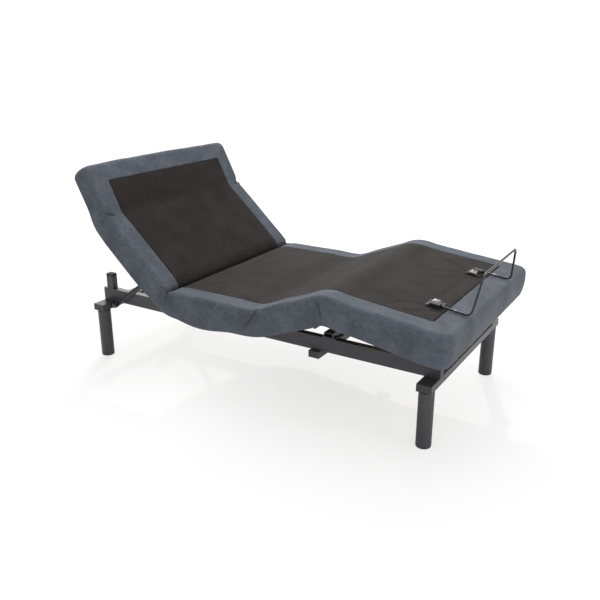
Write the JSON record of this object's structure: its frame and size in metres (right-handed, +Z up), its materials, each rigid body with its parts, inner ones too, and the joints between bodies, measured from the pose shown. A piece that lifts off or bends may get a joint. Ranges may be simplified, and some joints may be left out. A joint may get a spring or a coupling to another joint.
{
  "type": "adjustable bed base",
  "caption": "Upholstered adjustable bed base with hinged pillow, back, seat, thigh and foot panels on a sliding carriage, steel frame and round legs.",
  "frame": {"origin": "floor level, below the middle of the whole object's footprint at rest", "axes": "+Z up, +Y towards the head end, +X to the sleeper's left when lying face up"},
  "size_m": [0.965, 1.8019, 0.9307],
  "materials": {
    "powder_black": "satin powder coat",
    "zinc_steel": "zinc plated",
    "rod_steel": "ground rod",
    "black_plastic": "fine grain moulding",
    "bumper_rubber": "matt",
    "plywood": "bare birch ply",
    "dark_felt": "non-woven felt",
    "slate_weave": "short pile weave",
    "retainer_wire": "satin black",
    "bracket_black": "satin black"
  },
  "bodies": {
    "base": {"side_rail_left": "powder_black", "side_rail_right": "powder_black", "end_crossmembers": "powder_black", "mid_crossmember": "powder_black", "legs": "powder_black", "leg_glides": "black_plastic", "leg_studs": "zinc_steel", "tube_end_caps": "black_plastic", "head_posts": "powder_black", "post_bumpers": "bumper_rubber", "strut_lugs": "powder_black", "strut_pins": "zinc_steel", "frame_bolts": "zinc_steel"},
    "carriage": {"carriage_beams": "powder_black", "carriage_cross_tubes": "powder_black", "nylon_sliders": "black_plastic", "seat_strips": "bumper_rubber", "seat_hinge_leaves": "zinc_steel", "seat_hinge_pins": "zinc_steel", "link_lugs": "powder_black", "head_actuator": "black_plastic", "foot_actuator": "black_plastic", "lift_motors": "black_plastic", "actuator_brackets": "powder_black", "control_box": "black_plastic", "motor_cables": "bumper_rubber", "seat_board": "plywood", "seat_pad": "dark_felt", "seat_skirts": "slate_weave"},
    "back": {"back_board": "plywood", "back_pad": "dark_felt", "back_skirts": "slate_weave", "back_hinge_leaves": "zinc_steel", "pillow_hinge_pins": "zinc_steel", "back_lever": "powder_black", "strut_slots": "powder_black", "pillow_actuator": "black_plastic", "pillow_motor": "black_plastic"},
    "pillow": {"pillow_board": "plywood", "pillow_pad": "dark_felt", "pillow_skirts": "slate_weave", "pillow_hinge_leaves": "zinc_steel", "pillow_lever": "powder_black"},
    "thigh": {"thigh_board": "plywood", "thigh_pad": "dark_felt", "thigh_skirts": "slate_weave", "thigh_hinge_leaves": "zinc_steel", "knee_hinge_pins": "zinc_steel", "thigh_lever": "powder_black"},
    "foot": {"foot_board": "plywood", "foot_pad": "dark_felt", "foot_skirts": "slate_weave", "foot_fittings": "zinc_steel", "retainer_bar": "retainer_wire", "retainer_brackets": "bracket_black"},
    "struts": {"wall_struts": "powder_black"},
    "links": {"foot_links": "powder_black"},
    "head_rod": {"head_rod": "rod_steel"},
    "foot_rod": {"foot_rod": "rod_steel"},
    "pillow_rod": {"pillow_rod": "rod_steel"}
  },
  "joints": [
    {"name": "carriage_slide", "type": "slide", "parent": "base", "child": "carriage", "axis": [0, 1, 0], "range_m": [-0.1011, 0.0413]},
    {"name": "back_lift", "type": "hinge", "parent": "carriage", "child": "back", "pos_m": [0, 0.366, 0.401], "axis": [1, 0, 0], "range_deg": [-42.7, 17.3]},
    {"name": "pillow_tilt", "type": "hinge", "parent": "back", "child": "pillow", "pos_m": [0, 0.69818, 0.70753], "axis": [1, 0, 0], "range_deg": [-20, 25]},
    {"name": "thigh_lift", "type": "hinge", "parent": "carriage", "child": "thigh", "pos_m": [0, -0.088, 0.401], "axis": [-1, 0, 0], "range_deg": [-20.6, 14]},
    {"name": "foot_fold", "type": "hinge", "parent": "thigh", "child": "foot", "pos_m": [0, -0.39128, 0.515], "axis": [1, 0, 0], "range_deg": [-27.4, 18.72]},
    {"name": "strut_swing", "type": "hinge", "parent": "base", "child": "struts", "pos_m": [0, 0.812, 0.25], "axis": [-1, 0, 0], "range_deg": [-18.23, 7.57]},
    {"name": "link_swing", "type": "hinge", "parent": "carriage", "child": "links", "pos_m": [0, -0.395, 0.341], "axis": [-1, 0, 0], "range_deg": [-25.64, 17.52]},
    {"name": "head_rod_slide", "type": "slide", "parent": "carriage", "child": "head_rod", "axis": [0, 1, 0], "range_m": [-0.0892, 0.0364]},
    {"name": "foot_rod_slide", "type": "slide", "parent": "carriage", "child": "foot_rod", "axis": [0, -1, 0], "range_m": [-0.0412, 0.0282]},
    {"name": "pillow_rod_slide", "type": "slide", "parent": "back", "child": "pillow_rod", "axis": [0, 0.7349, 0.6782], "range_m": [-0.0266, 0.0332]}
  ],
  "couplings": [
    {"joint": "carriage_slide", "follows": "back_lift", "m_per_rad": 0.135},
    {"joint": "strut_swing", "follows": "back_lift", "ratio": 0.42},
    {"joint": "head_rod_slide", "follows": "back_lift", "m_per_rad": 0.119},
    {"joint": "foot_fold", "follows": "thigh_lift", "ratio": 1.3155},
    {"joint": "link_swing", "follows": "thigh_lift", "ratio": 1.23},
    {"joint": "foot_rod_slide", "follows": "thigh_lift", "m_per_rad": 0.1133},
    {"joint": "pillow_rod_slide", "follows": "pillow_tilt", "m_per_rad": 0.0749}
  ]
}
